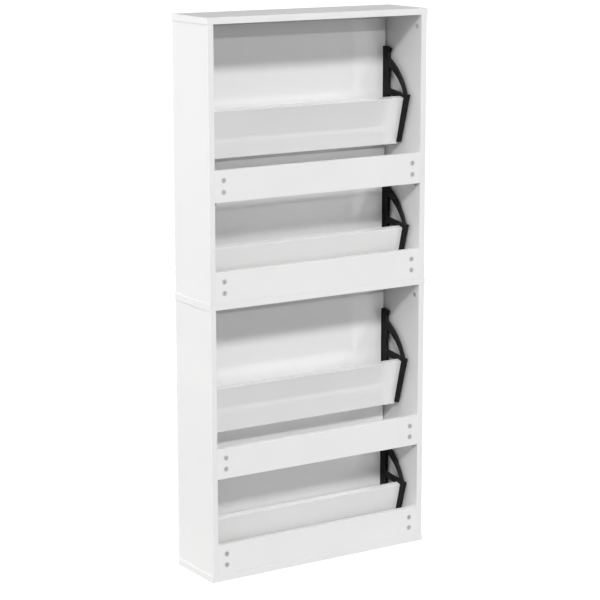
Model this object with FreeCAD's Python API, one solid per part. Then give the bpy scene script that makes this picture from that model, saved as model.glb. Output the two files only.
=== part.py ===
import FreeCAD, Part
import math
import os

from FreeCAD import Vector

# Slim shoe cabinet: two stacked carcasses of coated chipboard, four tilting flaps.
# Origin: middle of the footprint, on the floor. +X right, -Y front (flaps), +Z up.

# ---- Overall sizes (mm) ----
CABINET_WIDTH = 630.0
CABINET_DEPTH = 170.0
PANEL_T = 16.0
SIDE_HEIGHT = 664.0
SIDE_SETBACK = 2.0
EDGE_RADIUS = 0.8

# ---- Back rails ----
RAIL_HEIGHT = 76.5
MIDDLE_RAIL_LIFT = 244.0
RAIL_CAM_SPACING = 28.0
RAIL_CAM_FROM_END = 24.0
RAIL_PEG_DIAMETER = 7.0
RAIL_PEG_REACH = 8.0

# ---- Cam locks, cam bolts and dowels ----
CAM_DIAMETER = 13.0
CAM_DEPTH = 12.0
CAM_SLOT_LENGTH = 8.0
CAM_SLOT_WIDTH = 1.6
SIDE_CAM_FROM_END = 29.0
SIDE_TOP_CAM_FROM_BACK = 19.0
SIDE_BASE_CAM_FROM_BACK = 36.0
BOLT_THREAD_DIAMETER = 6.0
BOLT_THREAD_LENGTH = 10.0
BOLT_NECK_DIAMETER = 4.0
BOLT_HEAD_DIAMETER = 6.0
BOLT_BORE_DIAMETER = 7.0
DOWEL_DIAMETER = 8.0
DOWEL_LENGTH = 30.0
DOWEL_IN_FACE = 10.0
TOP_DOWELS_FROM_BACK = (62.0, 126.0)
BASE_DOWELS_FROM_BACK = (78.0, 142.0)
FIT = 0.05

# ---- Flap doors ----
DOOR_GAP = 3.0
DOOR_RECESS = 2.0
DOOR_GRIP_BEVEL = 13.0

# ---- Flap brackets, in the side view: (distance behind the door, height above its foot) ----
BRACKET_T = 8.0
BRACKET_FOOT = 3.0
BRACKET_TOP = 244.0
BAR_DEPTH = 24.0
BAR_TIP_DEPTH = 19.0
BAR_TIP_HEIGHT = 8.0
KNUCKLE = (23.7, 236.0, 5.5)
PIVOT_BEHIND_DOOR = 7.0
PIVOT_HEIGHT = 115.0
PIVOT_PIN_DIAMETER = 8.0
PIVOT_CLEARANCE = 0.05
ARC_OUTER = ((23.0, 215.4), (66.4, 182.0), (100.3, 127.0))
ARC_INNER = ((23.0, 192.8), (67.5, 164.8), (93.0, 127.0))
STRUT_AT_BAR = (123.0, 138.0)
STRUT_AT_LEG = (115.0, 129.5)
STRUT_REACH = 90.0
FOOT_WEB_HEIGHT = 34.0
LEG_FRONT_LIP = 3.0
LEG_FOOT = 6.5
LEG_TOP = 129.5
LEG_REAR_AT_FOOT = 73.4
LEG_REAR_AT_TOP = 111.0
POCKET_DEPTH = 4.0
SPIGOT_DIAMETER = 5.0
SPIGOT_LENGTH = 8.0
SPIGOT_HEIGHT = 25.0
FIXING_HEIGHTS = (155.0, 232.0)
SCREW_SEAT_BEHIND_DOOR = 14.0

# ---- Inner board of each flap ----
BOARD_LENGTH = 123.0
BOARD_TILT = 15.0
BOARD_FOOT = (60.0, 1.0)
BOARD_END_PLAY = 0.2
BOARD_SCREWS_ALONG = (28.0, 95.0)

# ---- Stop pegs: the leg rests on its peg when shut, the bar when open ----
OPENING_ANGLE = 35.0
STOP_DIAMETER = 8.0
OPEN_STOP_BELOW_PIVOT = 57.4
STOP_GAP = 0.1

# ---- Derived places ----
HALF_WIDTH = CABINET_WIDTH / 2
BACK_Y = CABINET_DEPTH / 2
FRONT_Y = -CABINET_DEPTH / 2
SIDE_OUTER = HALF_WIDTH - SIDE_SETBACK
SIDE_INNER = SIDE_OUTER - PANEL_T
LOWER_FLOOR = PANEL_T
LOWER_CEILING = LOWER_FLOOR + SIDE_HEIGHT
UPPER_FLOOR = LOWER_CEILING + PANEL_T
UPPER_CEILING = UPPER_FLOOR + SIDE_HEIGHT
DOOR_HEIGHT = (SIDE_HEIGHT - 3 * DOOR_GAP) / 2
DOOR_HALF_WIDTH = SIDE_INNER - DOOR_GAP
DOOR_OUTER_Y = FRONT_Y + DOOR_RECESS
DOOR_INNER_Y = DOOR_OUTER_Y + PANEL_T
BRACKET_INNER_X = DOOR_HALF_WIDTH - BRACKET_T
UPPER_DOOR_LIFT = 2 * DOOR_GAP + DOOR_HEIGHT
FLAP_FEET = {
    "flap_1": UPPER_FLOOR + UPPER_DOOR_LIFT,
    "flap_2": UPPER_FLOOR + DOOR_GAP,
    "flap_3": LOWER_FLOOR + UPPER_DOOR_LIFT,
    "flap_4": LOWER_FLOOR + DOOR_GAP,
}
SIDES = {"left": -1, "right": 1}


def box(x_range, y_range, z_range):
    """Plain block between the given limits."""
    size = (x_range[1] - x_range[0], y_range[1] - y_range[0], z_range[1] - z_range[0])
    return Part.makeBox(*size, Vector(x_range[0], y_range[0], z_range[0]))


def rod(diameter, length, start, direction):
    """Cylinder growing from start along direction."""
    return Part.makeCylinder(diameter / 2, length, start, direction)


def eased(solid, radius):
    """Solid with every edge slightly rounded."""
    return solid.makeFillet(radius, solid.Edges)


def cut_all(solid, tools):
    """Solid with all the tools taken away."""
    for tool in tools:
        solid = solid.cut(tool)
    return solid


def save(node, solids):
    """Write one node as its own STEP file."""
    shape = solids[0] if len(solids) == 1 else Part.makeCompound(solids)
    shape.exportStep("parts/" + node + ".step")


# ---- Cam fittings ----
def cam_lock(face_point, outward, bolt_direction):
    """Round cam with a cross slot on its face and a mouth towards the bolt."""
    inward = outward * -1
    cross = outward.cross(bolt_direction)
    body = rod(CAM_DIAMETER, CAM_DEPTH, face_point, inward)
    mouth_start = face_point + inward * (PANEL_T / 2)
    mouth = rod(BOLT_BORE_DIAMETER, CAM_DIAMETER, mouth_start, bolt_direction)
    pocket = Part.makeSphere(BOLT_BORE_DIAMETER / 2, mouth_start)
    body = cut_all(body, [mouth, pocket])
    for along, across in ((bolt_direction, cross), (cross, bolt_direction)):
        corner = face_point - along * (CAM_SLOT_LENGTH / 2) - across * (CAM_SLOT_WIDTH / 2)
        corners = [
            corner,
            corner + along * CAM_SLOT_LENGTH,
            corner + along * CAM_SLOT_LENGTH + across * CAM_SLOT_WIDTH,
            corner + across * CAM_SLOT_WIDTH,
            corner,
        ]
        slot = Part.Face(Part.makePolygon(corners)).extrude(inward * 2.0)
        body = body.cut(slot)
    return body


def cam_bolt(surface_point, direction, reach):
    """Bolt screwed into a panel face, its neck ending in a head held by the cam."""
    thread = rod(BOLT_THREAD_DIAMETER, BOLT_THREAD_LENGTH, surface_point, direction * -1)
    neck = rod(BOLT_NECK_DIAMETER, reach - 2.0, surface_point, direction)
    head_start = surface_point + direction * (reach - 2.0)
    head = rod(BOLT_HEAD_DIAMETER, 3.0, head_start, direction)
    return thread.fuse([neck, head]).removeSplitter()


def cam_bore(face_point, outward):
    """Blind bore that takes a cam lock."""
    return rod(CAM_DIAMETER + 2 * FIT, CAM_DEPTH + 0.5, face_point, outward * -1)


def bolt_bore(end_point, direction, reach):
    """Bore from a board's end to the centre of its cam."""
    return rod(BOLT_BORE_DIAMETER, reach, end_point, direction)


def thread_bore(surface_point, direction):
    """Bore in a panel face for the bolt's thread."""
    diameter = BOLT_THREAD_DIAMETER + 2 * FIT
    return rod(diameter, BOLT_THREAD_LENGTH + 0.5, surface_point, direction * -1)


# ---- Joints between the side panels and the flat panels ----
def panel_joints():
    """Every end of every side panel, with its cam place and its dowel places."""
    joints = []
    for storey, floor, ceiling in (
        ("upper", UPPER_FLOOR, UPPER_CEILING),
        ("lower", LOWER_FLOOR, LOWER_CEILING),
    ):
        for side, sign in SIDES.items():
            centre_x = sign * (SIDE_INNER + PANEL_T / 2)
            ends = (
                (ceiling, -1, SIDE_TOP_CAM_FROM_BACK, TOP_DOWELS_FROM_BACK),
                (floor, 1, SIDE_BASE_CAM_FROM_BACK, BASE_DOWELS_FROM_BACK),
            )
            for level, into_side, cam_back, dowels_back in ends:
                joints.append({
                    "side_panel": storey + "_side_" + side,
                    "inward_x": -sign,
                    "into_side": Vector(0, 0, into_side),
                    "cam": Vector(centre_x, BACK_Y - cam_back, level),
                    "dowels": [Vector(centre_x, BACK_Y - back, level) for back in dowels_back],
                })
    return joints


def joint_cam_face(joint):
    """Point on the inner face of the side panel where the cam sits."""
    rise = joint["into_side"] * SIDE_CAM_FROM_END
    to_face = Vector(joint["inward_x"] * PANEL_T / 2, 0, 0)
    return joint["cam"] + rise + to_face


def dowel_start(joint, place):
    return place - joint["into_side"] * DOWEL_IN_FACE


JOINTS = panel_joints()


def flat_panel(floor_z):
    """Full-width panel with thread bores and dowel bores from the side panels it meets."""
    limits = ((-HALF_WIDTH, HALF_WIDTH), (FRONT_Y, BACK_Y), (floor_z, floor_z + PANEL_T))
    panel = eased(box(*limits), EDGE_RADIUS)
    tools = []
    for joint in JOINTS:
        if not floor_z <= joint["cam"].z <= floor_z + PANEL_T:
            continue
        tools.append(thread_bore(joint["cam"], joint["into_side"]))
        for place in joint["dowels"]:
            start = place - joint["into_side"] * (DOWEL_IN_FACE + 0.5)
            tools.append(rod(DOWEL_DIAMETER + 2 * FIT, DOWEL_IN_FACE + 1, start, joint["into_side"]))
    return cut_all(panel, tools)


save("bottom_panel", [flat_panel(0.0)])
save("middle_panel", [flat_panel(LOWER_CEILING)])
save("top_panel", [flat_panel(UPPER_CEILING)])


# ---- Back rails ----
RAIL_FEET = {
    "upper_middle_rail": UPPER_FLOOR + MIDDLE_RAIL_LIFT,
    "upper_base_rail": UPPER_FLOOR,
    "lower_middle_rail": LOWER_FLOOR + MIDDLE_RAIL_LIFT,
    "lower_base_rail": LOWER_FLOOR,
}
RAIL_AXIS_Y = BACK_Y - PANEL_T / 2


def rail_bolt_heights(foot):
    centre = foot + RAIL_HEIGHT / 2
    return (centre - RAIL_CAM_SPACING / 2, centre + RAIL_CAM_SPACING / 2)


def rail_ends(foot):
    """Place on the side panel's inner face of every bolt of a rail, and its direction."""
    ends = []
    for sign in SIDES.values():
        for height in rail_bolt_heights(foot):
            ends.append((Vector(sign * SIDE_INNER, RAIL_AXIS_Y, height), Vector(-sign, 0, 0)))
    return ends


def rail_cam_face(end, inward):
    return end + inward * RAIL_CAM_FROM_END + Vector(0, PANEL_T / 2, 0)


def rail(foot):
    limits = ((-SIDE_INNER, SIDE_INNER), (BACK_Y - PANEL_T, BACK_Y), (foot, foot + RAIL_HEIGHT))
    tools = []
    for end, inward in rail_ends(foot):
        tools.append(bolt_bore(end, inward, RAIL_CAM_FROM_END))
        tools.append(cam_bore(rail_cam_face(end, inward), Vector(0, 1, 0)))
    return cut_all(eased(box(*limits), EDGE_RADIUS), tools)


rail_cams = []
rail_bolts = []
for node, foot in RAIL_FEET.items():
    save(node, [rail(foot)])
    for end, inward in rail_ends(foot):
        rail_cams.append(cam_lock(rail_cam_face(end, inward), Vector(0, 1, 0), inward * -1))
        rail_bolts.append(cam_bolt(end, inward, RAIL_CAM_FROM_END))
save("rail_cam_locks", rail_cams)
save("rail_cam_bolts", rail_bolts)


def rail_peg_places():
    """Centres, on the side panels, of the pegs that the middle rails rest on."""
    places = []
    for node in ("upper_middle_rail", "lower_middle_rail"):
        height = RAIL_FEET[node] - RAIL_PEG_DIAMETER / 2
        for sign in SIDES.values():
            places.append((Vector(sign * SIDE_INNER, RAIL_AXIS_Y - 3.0, height), sign))
    return places


def side_peg(place, sign, diameter, reach):
    """Peg with a thinner shank pressed into the side panel."""
    outward = Vector(sign, 0, 0)
    head = rod(diameter, reach, place, outward * -1)
    shank = rod(diameter - 2.0, 10.0, place, outward)
    return head.fuse(shank).removeSplitter()


def side_peg_bore(place, sign, diameter):
    return rod(diameter - 2.0 + 2 * FIT, 10.5, place, Vector(sign, 0, 0))


save("rail_pegs", [
    side_peg(place, sign, RAIL_PEG_DIAMETER, RAIL_PEG_REACH) for place, sign in rail_peg_places()
])


# ---- Pivot pins and stop pegs on the side panels ----
PIVOT_Y = DOOR_INNER_Y + PIVOT_BEHIND_DOOR
PIN_REACH = SIDE_INNER - BRACKET_INNER_X


def stop_place():
    """Stop peg's place relative to the pivot with the flap shut.

    With the flap fully open the bar's rear face rests on the peg, so the peg's place
    beside the bar is turned back by the opening angle.
    """
    angle = math.radians(OPENING_ANGLE)
    behind = BAR_DEPTH - PIVOT_BEHIND_DOOR + STOP_DIAMETER / 2 + STOP_GAP
    below = OPEN_STOP_BELOW_PIVOT
    place_y = behind * math.cos(angle) + below * math.sin(angle)
    place_z = behind * math.sin(angle) - below * math.cos(angle)
    return place_y, place_z


def pin_places():
    """Pivot and stop peg of every flap on both side panels."""
    stop_y, stop_z = stop_place()
    places = {"pivot": [], "stop": []}
    for foot in FLAP_FEET.values():
        for sign in SIDES.values():
            face_x = sign * SIDE_INNER
            pivot = Vector(face_x, PIVOT_Y, foot + PIVOT_HEIGHT)
            places["pivot"].append((pivot, sign))
            places["stop"].append((pivot + Vector(0, stop_y, stop_z), sign))
    return places


PINS = pin_places()


def pivot_pin(place, sign):
    """Moulded pin with a thin collar against the side panel."""
    collar = rod(15.0, 2.4, place, Vector(-sign, 0, 0))
    return side_peg(place, sign, PIVOT_PIN_DIAMETER, PIN_REACH).fuse(collar).removeSplitter()


save("pivot_pins", [pivot_pin(place, sign) for place, sign in PINS["pivot"]])
save("stop_pegs", [side_peg(place, s, STOP_DIAMETER, PIN_REACH) for place, s in PINS["stop"]])


# ---- Side panels ----
def side_panel(node, sign, floor):
    x_range = sorted((sign * SIDE_INNER, sign * SIDE_OUTER))
    panel = eased(box(x_range, (FRONT_Y, BACK_Y), (floor, floor + SIDE_HEIGHT)), EDGE_RADIUS)
    tools = []
    for joint in JOINTS:
        if joint["side_panel"] != node:
            continue
        inward = Vector(joint["inward_x"], 0, 0)
        tools.append(cam_bore(joint_cam_face(joint), inward))
        tools.append(bolt_bore(joint["cam"], joint["into_side"], SIDE_CAM_FROM_END))
        for place in joint["dowels"]:
            depth = DOWEL_LENGTH - DOWEL_IN_FACE + 0.5
            tools.append(rod(DOWEL_DIAMETER + 2 * FIT, depth, place, joint["into_side"]))
    for foot in RAIL_FEET.values():
        for end, inward in rail_ends(foot):
            if end.x * sign > 0 and floor < foot + 1 < floor + SIDE_HEIGHT:
                tools.append(thread_bore(end, inward))
    for diameter, places in (
        (RAIL_PEG_DIAMETER, rail_peg_places()),
        (PIVOT_PIN_DIAMETER, PINS["pivot"]),
        (STOP_DIAMETER, PINS["stop"]),
    ):
        for place, place_sign in places:
            if place_sign == sign and floor < place.z < floor + SIDE_HEIGHT:
                tools.append(side_peg_bore(place, sign, diameter))
    return cut_all(panel, tools)


for storey, floor in (("upper", UPPER_FLOOR), ("lower", LOWER_FLOOR)):
    for side, sign in SIDES.items():
        node = storey + "_side_" + side
        save(node, [side_panel(node, sign, floor)])

side_cams = []
side_bolts = []
dowels = []
for joint in JOINTS:
    inward = Vector(joint["inward_x"], 0, 0)
    side_cams.append(cam_lock(joint_cam_face(joint), inward, joint["into_side"] * -1))
    side_bolts.append(cam_bolt(joint["cam"], joint["into_side"], SIDE_CAM_FROM_END))
    for place in joint["dowels"]:
        dowel = rod(DOWEL_DIAMETER, DOWEL_LENGTH, dowel_start(joint, place), joint["into_side"])
        dowels.append(dowel.makeChamfer(0.8, [dowel.Edges[0], dowel.Edges[2]]))
save("side_cam_locks", side_cams)
save("side_cam_bolts", side_bolts)
save("panel_dowels", dowels)


# ---- Flaps ----
def side_view(points, foot):
    """Side-view points (behind the door, above its foot) as points in the YZ plane."""
    return [Vector(0, DOOR_INNER_Y + behind, foot + height) for behind, height in points]


def extruded(face, sign, inner_x, thickness):
    """Side-view face given thickness from inner_x outwards on one side of the cabinet."""
    start = inner_x if sign > 0 else -inner_x - thickness
    face.translate(Vector(start, 0, 0))
    return face.extrude(Vector(thickness, 0, 0))


def polygon_face(points, foot):
    corners = side_view(points, foot)
    return Part.Face(Part.makePolygon(corners + [corners[0]]))


def tilted(along, towards_door):
    """Point measured along the tilted board and from its rear face towards the door."""
    angle = math.radians(BOARD_TILT)
    behind = BOARD_FOOT[0] + along * math.sin(angle) - towards_door * math.cos(angle)
    height = BOARD_FOOT[1] + along * math.cos(angle) + towards_door * math.sin(angle)
    return behind, height


def tilted_block(along_range, door_range):
    start, end = along_range
    rear, front = door_range
    return [tilted(start, rear), tilted(end, rear), tilted(end, front), tilted(start, front)]


def leg_front(height):
    """Point on the leg's front edge, which runs along the tilted board, at the given height."""
    towards_door = PANEL_T + LEG_FRONT_LIP
    low_behind, low_height = tilted(0, towards_door)
    return low_behind + (height - low_height) * math.tan(math.radians(BOARD_TILT)), height


def arc_face(foot):
    """Curved arm between the bar and the leg."""
    outer = side_view(ARC_OUTER, foot)
    inner = side_view(ARC_INNER, foot)
    edges = [
        Part.Arc(outer[0], outer[1], outer[2]).toShape(),
        Part.makeLine(outer[2], inner[2]),
        Part.Arc(inner[2], inner[1], inner[0]).toShape(),
        Part.makeLine(inner[0], outer[0]),
    ]
    return Part.Face(Part.Wire(edges))


def door(foot):
    """Flap front, bevelled along the inside of its top edge as a finger grip."""
    top = DOOR_HEIGHT
    front = -PANEL_T
    outline = [
        (front, 0), (0, 0), (0, top - DOOR_GRIP_BEVEL),
        (front + PANEL_T - DOOR_GRIP_BEVEL, top), (front, top),
    ]
    slab = polygon_face(outline, foot)
    slab.translate(Vector(-DOOR_HALF_WIDTH, 0, 0))
    slab = eased(slab.extrude(Vector(2 * DOOR_HALF_WIDTH, 0, 0)), EDGE_RADIUS)
    tools = []
    for sign in SIDES.values():
        x = sign * (BRACKET_INNER_X + BRACKET_T / 2)
        into_door = Vector(0, -1, 0)
        for height in FIXING_HEIGHTS:
            place = Vector(x, DOOR_INNER_Y, foot + height)
            tools.append(rod(3.0 + 2 * FIT, 12.5, place, into_door))
        place = Vector(x, DOOR_INNER_Y, foot + SPIGOT_HEIGHT)
        tools.append(rod(SPIGOT_DIAMETER + 2 * FIT, SPIGOT_LENGTH + 0.5, place, into_door))
    return cut_all(slab, tools)


def board_screw_places(foot, sign):
    """Screws through the bracket's leg into the middle of the board's end."""
    places = []
    for along in BOARD_SCREWS_ALONG:
        behind, height = tilted(along, PANEL_T / 2)
        places.append(Vector(sign * DOOR_HALF_WIDTH, DOOR_INNER_Y + behind, foot + height))
    return places


def inner_board(foot):
    """Board between the two brackets that carries the shoes."""
    half_length = BRACKET_INNER_X + POCKET_DEPTH - BOARD_END_PLAY
    outline = tilted_block((0, BOARD_LENGTH), (0, PANEL_T))
    slab = polygon_face(outline, foot)
    slab.translate(Vector(-half_length, 0, 0))
    slab = eased(slab.extrude(Vector(2 * half_length, 0, 0)), EDGE_RADIUS)
    tools = []
    for sign in SIDES.values():
        for place in board_screw_places(foot, sign):
            tools.append(rod(3.0 + 2 * FIT, 20.5, place, Vector(-sign, 0, 0)))
    return cut_all(slab, tools)


def bracket(foot, sign):
    """Moulded side bracket: bar on the door, curved arm, strut, leg holding the board."""
    shoulder = BRACKET_TOP - BAR_TIP_HEIGHT
    bar = [
        (0, BRACKET_FOOT), (BAR_DEPTH, BRACKET_FOOT), (BAR_DEPTH, shoulder),
        (BAR_TIP_DEPTH, shoulder), (BAR_TIP_DEPTH, BRACKET_TOP), (0, BRACKET_TOP),
    ]
    strut = [
        (BAR_DEPTH - 1, STRUT_AT_BAR[0]), (STRUT_REACH, STRUT_AT_LEG[0]),
        (STRUT_REACH, STRUT_AT_LEG[1]), (BAR_DEPTH - 1, STRUT_AT_BAR[1]),
    ]
    leg = [
        leg_front(LEG_FOOT), (LEG_REAR_AT_FOOT, LEG_FOOT),
        (LEG_REAR_AT_TOP, LEG_TOP), leg_front(LEG_TOP),
    ]
    web_end = tilted(LEG_FOOT, PANEL_T)
    web_top = tilted(FOOT_WEB_HEIGHT, PANEL_T)
    foot_web = [(BAR_DEPTH - 1, BRACKET_FOOT), web_end, web_top, (BAR_DEPTH - 1, FOOT_WEB_HEIGHT)]
    faces = [polygon_face(outline, foot) for outline in (bar, strut, leg, foot_web)]
    faces.append(arc_face(foot))
    pieces = [extruded(face, sign, BRACKET_INNER_X, BRACKET_T) for face in faces]

    middle_x = sign * (BRACKET_INNER_X + BRACKET_T / 2)
    spigot_place = Vector(middle_x, DOOR_INNER_Y, foot + SPIGOT_HEIGHT)
    pieces.append(rod(SPIGOT_DIAMETER, SPIGOT_LENGTH, spigot_place, Vector(0, -1, 0)))
    knuckle_x = min(sign * BRACKET_INNER_X, sign * (BRACKET_INNER_X + BRACKET_T))
    knuckle_place = Vector(knuckle_x, DOOR_INNER_Y + KNUCKLE[0], foot + KNUCKLE[1])
    pieces.append(rod(2 * KNUCKLE[2], BRACKET_T, knuckle_place, Vector(1, 0, 0)))
    body = pieces[0].fuse(pieces[1:]).removeSplitter()

    outward = Vector(sign, 0, 0)
    pocket_outline = tilted_block((-1, BOARD_LENGTH + BOARD_END_PLAY), (0, PANEL_T))
    pocket = extruded(polygon_face(pocket_outline, foot), sign, BRACKET_INNER_X, POCKET_DEPTH)
    pivot_start = Vector(sign * (BRACKET_INNER_X - 1), PIVOT_Y, foot + PIVOT_HEIGHT)
    pivot_bore = rod(PIVOT_PIN_DIAMETER + 2 * PIVOT_CLEARANCE, BRACKET_T + 2, pivot_start, outward)
    tools = [pocket, pivot_bore]
    knuckle_reach = KNUCKLE[0] + KNUCKLE[2] + 1.0
    for height in FIXING_HEIGHTS:
        rear = Vector(middle_x, DOOR_INNER_Y + knuckle_reach, foot + height)
        tools.append(rod(6.2, knuckle_reach - SCREW_SEAT_BEHIND_DOOR, rear, Vector(0, -1, 0)))
        tools.append(rod(3.0 + 2 * FIT, knuckle_reach, rear, Vector(0, -1, 0)))
    for place in board_screw_places(foot, sign):
        tools.append(rod(3.0 + 2 * FIT, BRACKET_T, place, outward * -1))
        tools.append(Part.makeCone(3.1, 1.5 + FIT, 1.6, place, outward * -1))
    return cut_all(body, tools)


def bracket_screws(foot):
    """Pan-head screws sunk in the bar and driven into the door."""
    screws = []
    for sign in SIDES.values():
        for height in FIXING_HEIGHTS:
            x = sign * (BRACKET_INNER_X + BRACKET_T / 2)
            seat = Vector(x, DOOR_INNER_Y + SCREW_SEAT_BEHIND_DOOR, foot + height)
            head = rod(5.8, 2.2, seat, Vector(0, 1, 0))
            shank = rod(3.0, 26.0, seat, Vector(0, -1, 0))
            socket = rod(2.2, 1.4, seat + Vector(0, 2.2, 0), Vector(0, -1, 0))
            screws.append(head.fuse(shank).removeSplitter().cut(socket))
    return screws


def board_screws(foot):
    """Countersunk screws from the bracket's outer face into the board's ends."""
    screws = []
    for sign in SIDES.values():
        inward = Vector(-sign, 0, 0)
        for place in board_screw_places(foot, sign):
            head = Part.makeCone(3.0, 1.5, 1.6, place, inward)
            shank = rod(3.0, 20.0, place, inward)
            socket = rod(1.8, 1.2, place, inward)
            screws.append(head.fuse(shank).removeSplitter().cut(socket))
    return screws


for flap, foot in FLAP_FEET.items():
    save(flap + "_door", [door(foot)])
    save(flap + "_board", [inner_board(foot)])
    for side, sign in SIDES.items():
        save(flap + "_bracket_" + side, [bracket(foot, sign)])
    save(flap + "_bracket_screws", bracket_screws(foot))
    save(flap + "_board_screws", board_screws(foot))
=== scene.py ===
import math

import bpy
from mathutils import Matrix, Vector

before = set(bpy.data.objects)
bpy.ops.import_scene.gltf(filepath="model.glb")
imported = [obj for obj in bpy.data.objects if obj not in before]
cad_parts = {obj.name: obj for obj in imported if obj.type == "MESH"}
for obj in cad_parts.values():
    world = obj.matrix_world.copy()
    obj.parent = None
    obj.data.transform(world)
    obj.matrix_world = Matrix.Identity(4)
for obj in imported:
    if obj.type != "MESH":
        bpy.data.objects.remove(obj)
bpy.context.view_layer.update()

# Flat panels and side panels: 16 mm chipboard faced with satin white melamine, its edges
# banded in the same white. Cam bolts and dowels hold the sides to the flat panels.


def new_material(name):
    """New material of that name, with its node tree and its shader."""
    material = bpy.data.materials.new(name)
    material.use_nodes = True
    tree = material.node_tree
    shader = tree.nodes["Principled BSDF"]
    return material, tree, shader


def noise(tree, scale, detail=4.0, roughness=0.5, stretch=None):
    """Noise fixed to the piece, stretched along an axis where stretch says so."""
    texture = tree.nodes.new("ShaderNodeTexNoise")
    texture.inputs["Scale"].default_value = scale
    texture.inputs["Detail"].default_value = detail
    texture.inputs["Roughness"].default_value = roughness
    place = tree.nodes.new("ShaderNodeTexCoord").outputs["Object"]
    if stretch:
        mapping = tree.nodes.new("ShaderNodeMapping")
        mapping.inputs["Scale"].default_value = stretch
        tree.links.new(place, mapping.inputs["Vector"])
        place = mapping.outputs["Vector"]
    tree.links.new(place, texture.inputs["Vector"])
    return texture.outputs["Fac"]


def ramp(tree, value, stops):
    """Colour ramp over a value; each stop is (position, colour)."""
    node = tree.nodes.new("ShaderNodeValToRGB")
    elements = node.color_ramp.elements
    while len(elements) < len(stops):
        elements.new(0.5)
    for element, (position, colour) in zip(elements, stops):
        element.position = position
        element.color = (*colour, 1.0)
    tree.links.new(value, node.inputs["Fac"])
    return node.outputs["Color"]


def spread(tree, value, low, high, out_low, out_high):
    """Value stretched from low..high to out_low..out_high."""
    node = tree.nodes.new("ShaderNodeMapRange")
    node.inputs["From Min"].default_value = low
    node.inputs["From Max"].default_value = high
    node.inputs["To Min"].default_value = out_low
    node.inputs["To Max"].default_value = out_high
    tree.links.new(value, node.inputs["Value"])
    return node.outputs["Result"]


def dusted(tree, amount, clean, dusty):
    """Clean colour turning to the dusty one where the amount is high."""
    node = tree.nodes.new("ShaderNodeMix")
    node.data_type = "RGBA"
    tree.links.new(amount, node.inputs[0])
    tree.links.new(clean, node.inputs[6])
    node.inputs[7].default_value = (*dusty, 1.0)
    return node.outputs[2]


def combined(tree, first, second, operation="ADD"):
    """Sum of two values, or another operation on them; the second may be a plain number."""
    node = tree.nodes.new("ShaderNodeMath")
    node.operation = operation
    tree.links.new(first, node.inputs[0])
    if isinstance(second, bpy.types.NodeSocket):
        tree.links.new(second, node.inputs[1])
    else:
        node.inputs[1].default_value = second
    return node.outputs[0]


def bumped(tree, shader, height, strength, distance):
    """Raises the surface of the shader by a height, in metres at its full strength."""
    bump = tree.nodes.new("ShaderNodeBump")
    bump.inputs["Strength"].default_value = strength
    bump.inputs["Distance"].default_value = distance
    tree.links.new(height, bump.inputs["Height"])
    tree.links.new(bump.outputs["Normal"], shader.inputs["Normal"])


def white_melamine(name, light, shade, dull, shiny, lacquer=0.0):
    """White foil over chipboard: faint mottling, a pearl grain, a little dust and wiped smears."""
    material, tree, shader = new_material(name)
    mottling = noise(tree, 5.0, 5.0, 0.55)
    colour = ramp(tree, mottling, [(0.32, shade), (0.68, light)])
    dust = spread(tree, noise(tree, 38.0, 6.0, 0.7), 0.60, 0.78, 0.0, 0.35)
    colour = dusted(tree, dust, colour, tuple(part * 0.96 for part in shade))
    tree.links.new(colour, shader.inputs["Base Color"])
    smears = noise(tree, 9.0, 5.0, 0.6, stretch=(0.6, 1.0, 2.2))
    rough = spread(tree, smears, 0.3, 0.7, shiny, dull)
    fine = spread(tree, noise(tree, 420.0, 3.0, 0.6), 0.2, 0.8, -0.03, 0.03)
    tree.links.new(combined(tree, rough, fine), shader.inputs["Roughness"])
    shader.inputs["Specular IOR Level"].default_value = 0.5
    shader.inputs["Coat Weight"].default_value = lacquer
    shader.inputs["Coat Roughness"].default_value = 0.03
    shader.inputs["Coat IOR"].default_value = 1.95
    pearl = noise(tree, 900.0, 3.0, 0.6)
    waviness = combined(tree, noise(tree, 26.0, 3.0, 0.5), 3.0, "MULTIPLY")
    bumped(tree, shader, combined(tree, pearl, waviness), 0.25, 0.00012)
    return material


def finish(nodes, material):
    """Puts one material on the given nodes."""
    for node in nodes:
        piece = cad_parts[node]
        piece.data.materials.clear()
        piece.data.materials.append(material)


panel_white = white_melamine("panel_white", (0.86, 0.86, 0.855), (0.83, 0.83, 0.828), 0.46, 0.40)
finish(["bottom_panel", "middle_panel", "top_panel"], panel_white)
finish(["upper_side_left", "upper_side_right", "lower_side_left", "lower_side_right"], panel_white)

# Back rails: four strips of the same white board, fitted between the sides and flush with
# the back. Two cam locks at each end draw them tight.
rail_white = white_melamine("rail_white", (0.87, 0.87, 0.865), (0.84, 0.84, 0.838), 0.46, 0.40)
finish(["upper_middle_rail", "upper_base_rail", "lower_middle_rail", "lower_base_rail"], rail_white)

# Cam locks: die-cast zinc discs with a cross slot, turned with a screwdriver to draw the
# bolts tight. Their faces are dull, with casting grain and scraped slots.


def worn_metal(name, light, shade, roughness, metallic=0.9):
    """Metal handled and turned: uneven tone, lengthways scuffs and a fine grain."""
    material, tree, shader = new_material(name)
    tone = noise(tree, 240.0, 5.0, 0.65)
    tree.links.new(ramp(tree, tone, [(0.3, shade), (0.7, light)]), shader.inputs["Base Color"])
    shader.inputs["Metallic"].default_value = metallic
    scuffs = noise(tree, 700.0, 4.0, 0.7, stretch=(1.0, 1.0, 0.25))
    scuffed = spread(tree, scuffs, 0.3, 0.7, roughness - 0.1, roughness + 0.12)
    tree.links.new(scuffed, shader.inputs["Roughness"])
    bumped(tree, shader, noise(tree, 1600.0, 3.0, 0.6), 0.4, 0.0001)
    return material


cast_zinc = worn_metal("cast_zinc", (0.70, 0.70, 0.71), (0.52, 0.52, 0.53), 0.42, 0.35)
finish(["rail_cam_locks", "side_cam_locks"], cast_zinc)

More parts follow.
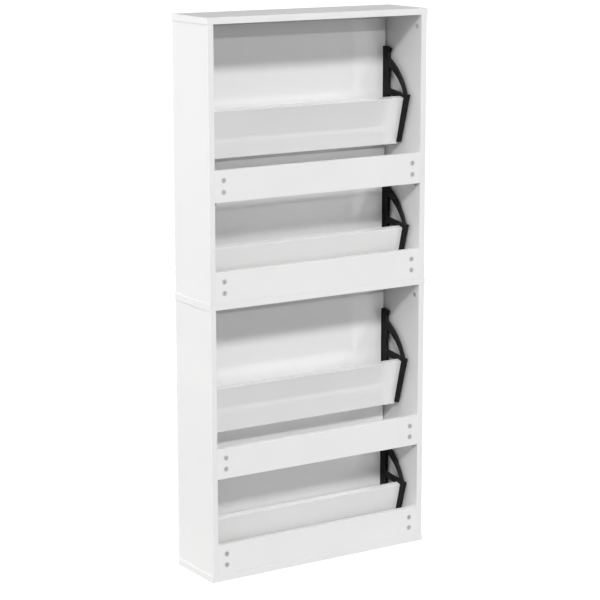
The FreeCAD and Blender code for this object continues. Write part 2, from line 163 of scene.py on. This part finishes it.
# Cam bolts: turned steel with a bright, slightly blue zinc plating. Each is screwed into
# one board and its head is caught by a cam lock in the next.
plated_steel = worn_metal("plated_steel", (0.72, 0.73, 0.75), (0.5, 0.51, 0.54), 0.3)
finish(["rail_cam_bolts", "side_cam_bolts"], plated_steel)

# Dowels: turned from raw beech, with fine lengthways grain. They are tapped into the ends
# of the sides and line them up with the flat panels.
beech, tree, shader = new_material("beech")
grain = noise(tree, 60.0, 6.0, 0.6, stretch=(6.0, 6.0, 0.6))
wood_colour = ramp(tree, grain, [(0.3, (0.50, 0.33, 0.20)), (0.7, (0.68, 0.50, 0.34))])
tree.links.new(wood_colour, shader.inputs["Base Color"])
shader.inputs["Roughness"].default_value = 0.7
bumped(tree, shader, grain, 0.3, 0.0002)
finish(["panel_dowels"], beech)

# Rail pegs: small studs moulded in grey plastic and pushed into the sides. The middle
# rails rest on them.


def moulded_plastic(name, light, shade, dull, shiny, grain_depth):
    """Injection-moulded plastic: spark-eroded grain, flow marks and slightly polished high spots."""
    material, tree, shader = new_material(name)
    flow = noise(tree, 22.0, 4.0, 0.55)
    tree.links.new(ramp(tree, flow, [(0.3, shade), (0.7, light)]), shader.inputs["Base Color"])
    polish = spread(tree, noise(tree, 55.0, 5.0, 0.6), 0.3, 0.7, shiny, dull)
    tree.links.new(polish, shader.inputs["Roughness"])
    shader.inputs["Specular IOR Level"].default_value = 0.04
    bumped(tree, shader, noise(tree, 1300.0, 3.0, 0.6), 0.5, grain_depth)
    return material


grey_plastic = moulded_plastic(
    "grey_plastic", (0.55, 0.55, 0.54), (0.46, 0.46, 0.45), 0.55, 0.4, 0.0001)
finish(["rail_pegs"], grey_plastic)

# Pivot pins and stop pegs: black plastic studs pressed into the sides. Each flap turns on
# two pins and comes to rest, shut or open, against two pegs.
black_plastic = moulded_plastic(
    "black_plastic", (0.024, 0.024, 0.025), (0.015, 0.015, 0.016), 0.60, 0.42, 0.00012)
finish(["pivot_pins", "stop_pegs"], black_plastic)

# Flap doors: 16 mm boards faced in glossy white foil, with the top edge bevelled at the
# back as a finger grip. The brackets are screwed to their inner faces.
flaps = ("flap_1", "flap_2", "flap_3", "flap_4")
door_white = white_melamine(
    "door_white", (0.87, 0.87, 0.87), (0.845, 0.845, 0.845), 0.16, 0.10, lacquer=1.0)
for flap in flaps:
    finish([flap + "_door"], door_white)

# Inner boards: the same glossy board, cut lower and set leaning back. Their ends sit in
# the pockets of the brackets and hold the shoes off the back.
board_white = white_melamine(
    "board_white", (0.87, 0.87, 0.868), (0.84, 0.84, 0.838), 0.16, 0.10, lacquer=1.0)
for flap in flaps:
    finish([flap + "_board"], board_white)

# Flap brackets: moulded in black plastic, a bar along the door and a leg along the board
# joined by an arc and a strut. Each turns on its pivot pin.
for flap in flaps:
    finish([flap + "_bracket_left", flap + "_bracket_right"], black_plastic)

# Flap screws: plated wood screws, two from each bracket into the door and two into the
# board.
for flap in flaps:
    finish([flap + "_bracket_screws", flap + "_board_screws"], plated_steel)

# Studio: a pale floor and an even white surround that look white but light the cabinet
# only weakly. Far lights behind, beside, above and in front do the lighting.
bpy.ops.mesh.primitive_plane_add(size=60.0, location=(0.0, 0.0, 0.0))
floor = bpy.context.object
floor.name = "studio_floor"
pale_floor, tree, shader = new_material("pale_floor")
tone = noise(tree, 1.5, 4.0, 0.5)
floor_colour = ramp(tree, tone, [(0.3, (0.20, 0.20, 0.20)), (0.7, (0.22, 0.22, 0.22))])
tree.links.new(floor_colour, shader.inputs["Base Color"])
shader.inputs["Roughness"].default_value = 0.8
shader.inputs["Specular IOR Level"].default_value = 0.1
shader.inputs["Emission Color"].default_value = (1.0, 1.0, 1.0, 1.0)
seen_directly = tree.nodes.new("ShaderNodeLightPath").outputs["Is Camera Ray"]
tree.links.new(combined(tree, seen_directly, 0.94, "MULTIPLY"), shader.inputs["Emission Strength"])
floor.data.materials.append(pale_floor)

world = bpy.data.worlds.new("studio")
world.use_nodes = True
world.node_tree.nodes["Background"].inputs["Color"].default_value = (1.0, 1.0, 1.0, 1.0)
seen_directly = world.node_tree.nodes.new("ShaderNodeLightPath").outputs["Is Camera Ray"]
surround = spread(world.node_tree, seen_directly, 0.0, 1.0, 0.12, 1.0)
world.node_tree.links.new(surround, world.node_tree.nodes["Background"].inputs["Strength"])
bpy.context.scene.world = world
bpy.context.scene.view_settings.view_transform = "Standard"


def distant_light(name, toward, strength, softness):
    """Far studio light: the direction it comes from, its strength and its angular size in degrees."""
    data = bpy.data.lights.new(name, "SUN")
    data.energy = strength
    data.angle = math.radians(softness)
    light = bpy.data.objects.new(name, data)
    light.rotation_euler = (-Vector(toward)).to_track_quat("-Z", "Y").to_euler()
    bpy.context.scene.collection.objects.link(light)


distant_light("key_light", (0.44, 1.0, 0.81), 2.02, 7.0)
distant_light("low_light", (0.0, 1.0, 0.31), 0.48, 2.0)
distant_light("high_light", (0.1, 1.0, 1.25), 0.20, 3.0)
distant_light("back_fill", (-0.2, 1.0, 0.03), 0.42, 20.0)
distant_light("far_side_fill", (-0.8, 1.0, 0.1), 0.18, 20.0)
distant_light("side_light", (1.0, -0.55, 0.12), 1.60, 20.0)
distant_light("side_back_light", (1.0, 0.04, 0.1), 1.05, 20.0)
distant_light("top_light", (0.1, 0.1, 1.0), 0.10, 20.0)
distant_light("front_light", (-1.6, -1.0, 0.4), 1.70, 30.0)

# Camera: behind the cabinet and to its side, a little above the top panel, tilted down at
# the middle of the back.
camera_data = bpy.data.cameras.new("camera")
camera_data.lens = 125.29
camera_data.sensor_width = 36.0
camera_data.shift_x = -0.02088
camera = bpy.data.objects.new("camera", camera_data)
camera.location = (2.7353, 4.3118, 1.7221)
camera.rotation_euler = (math.radians(78.236), 0.0, math.radians(147.319))
bpy.context.scene.collection.objects.link(camera)
bpy.context.scene.camera = camera
